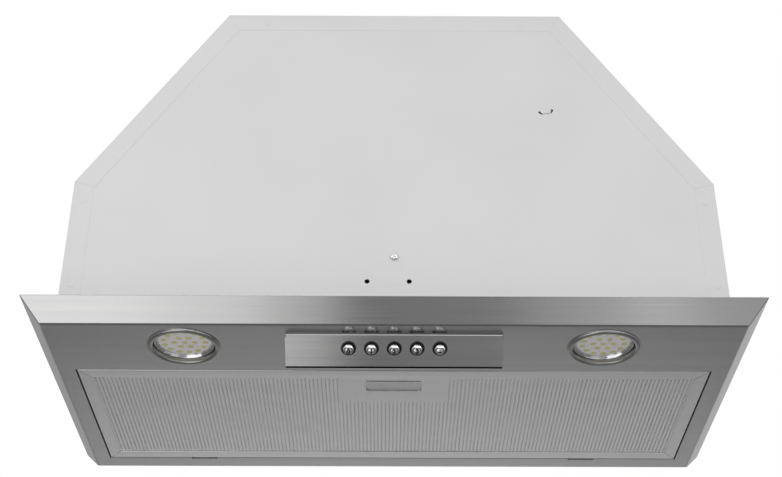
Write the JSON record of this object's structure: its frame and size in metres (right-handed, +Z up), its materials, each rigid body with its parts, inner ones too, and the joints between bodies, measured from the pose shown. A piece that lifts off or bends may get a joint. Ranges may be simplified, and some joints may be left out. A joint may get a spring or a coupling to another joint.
{
  "type": "range hood",
  "caption": "Built-in cooker hood with a bevelled steel face plate, hinged grease filter, push buttons, round lamps and a sloping painted housing with its blower.",
  "frame": {"origin": "centre of the housing's footprint, in the plane of the face plate's flange that lies against the cabinet", "axes": "+X to the viewer's right, -Y to the front where the buttons are, +Z up towards the duct"},
  "size_m": [0.6, 0.316, 0.3899],
  "materials": {
    "stainless": "brushed",
    "white_paint": "satin",
    "chrome": "polished",
    "reflector": "bright",
    "mesh": "satin",
    "latch_pad": "satin",
    "zinc": "zinc plated",
    "black_plastic": "matte",
    "black_gloss": "glossy",
    "grey_plastic": "matte",
    "led": "glossy",
    "ceramic": "matte",
    "bronze": "plain",
    "rubber": "matte",
    "glass": "clear"
  },
  "bodies": {
    "housing": {"face_plate": "stainless", "wrapper": "white_paint", "front_panel": "white_paint", "rear_panel": "white_paint", "service_cover": "white_paint", "control_cover": "stainless", "button_bezels": "black_gloss", "switch_block": "black_plastic", "switch_bracket": "zinc", "lamp_ring_left": "chrome", "lamp_ring_right": "chrome", "lamp_body_left": "reflector", "lamp_body_right": "reflector", "led_board_left": "led", "led_board_right": "led", "lamp_glass_left": "glass", "lamp_glass_right": "glass", "lamp_socket_left": "ceramic", "lamp_socket_right": "ceramic", "socket_brackets": "zinc", "outlet_collar": "grey_plastic", "flap_pin": "zinc", "scroll_left": "grey_plastic", "scroll_right": "grey_plastic", "inlet_guard": "black_plastic", "motor_housing": "zinc", "motor_bearings": "bronze", "motor_bracket": "zinc", "rubber_dampers": "rubber", "capacitor": "reflector", "capacitor_clip": "zinc", "terminal_box": "black_plastic", "terminal_box_lid": "black_plastic", "cord_gland": "black_plastic", "panel_rivets": "white_paint", "stud_nuts": "zinc", "collar_screws": "zinc", "scroll_screws": "zinc", "motor_screws": "zinc"},
    "filter": {"filter_frame": "stainless", "filter_face_mesh": "mesh", "filter_back_mesh": "mesh", "filter_core": "mesh", "latch_plate": "stainless", "latch_housing": "black_plastic", "filter_lugs": "zinc", "latch_springs": "zinc"},
    "latch": {"latch_slider": "latch_pad"},
    "rotor": {"impeller": "black_plastic", "motor_shaft": "zinc"},
    "flap_front": {"flap_front": "grey_plastic"},
    "flap_rear": {"flap_rear": "grey_plastic"},
    "button_0": {"button_0": "chrome"},
    "button_1": {"button_1": "chrome"},
    "button_2": {"button_2": "chrome"},
    "button_3": {"button_3": "chrome"},
    "button_lamp": {"button_lamp": "chrome"}
  },
  "joints": [
    {"name": "filter_hinge", "type": "hinge", "parent": "housing", "child": "filter", "pos_m": [0, 0.1235, -0.0164], "axis": [1, 0, 0], "range_deg": [0, 75]},
    {"name": "latch_slide", "type": "slide", "parent": "filter", "child": "latch", "axis": [0, 1, 0], "range_m": [0, 0.005], "stiffness_N_per_m": 300, "springref_m": -0.003, "deforming": ["latch_springs"]},
    {"name": "flap_front_hinge", "type": "hinge", "parent": "housing", "child": "flap_front", "pos_m": [0, 0.05624, 0.329], "axis": [-1, 0, 0], "range_deg": [0, 75]},
    {"name": "flap_rear_hinge", "type": "hinge", "parent": "housing", "child": "flap_rear", "pos_m": [0, 0.05624, 0.329], "axis": [1, 0, 0], "range_deg": [0, 75]},
    {"name": "impeller_spin", "type": "hinge", "parent": "housing", "child": "rotor", "pos_m": [0, -0.0125, 0.205], "axis": [1, 0, 0], "continuous": true},
    {"name": "button_0_press", "type": "slide", "parent": "housing", "child": "button_0", "axis": [0, 0.6428, 0.766], "range_m": [0, 0.003], "stiffness_N_per_m": 400, "springref_m": -0.003},
    {"name": "button_1_press", "type": "slide", "parent": "housing", "child": "button_1", "axis": [0, 0.6428, 0.766], "range_m": [0, 0.003], "stiffness_N_per_m": 400, "springref_m": -0.003},
    {"name": "button_2_press", "type": "slide", "parent": "housing", "child": "button_2", "axis": [0, 0.6428, 0.766], "range_m": [0, 0.003], "stiffness_N_per_m": 400, "springref_m": -0.003},
    {"name": "button_3_press", "type": "slide", "parent": "housing", "child": "button_3", "axis": [0, 0.6428, 0.766], "range_m": [0, 0.003], "stiffness_N_per_m": 400, "springref_m": -0.003},
    {"name": "button_lamp_press", "type": "slide", "parent": "housing", "child": "button_lamp", "axis": [0, 0.6428, 0.766], "range_m": [0, 0.003], "stiffness_N_per_m": 400, "springref_m": -0.003}
  ]
}
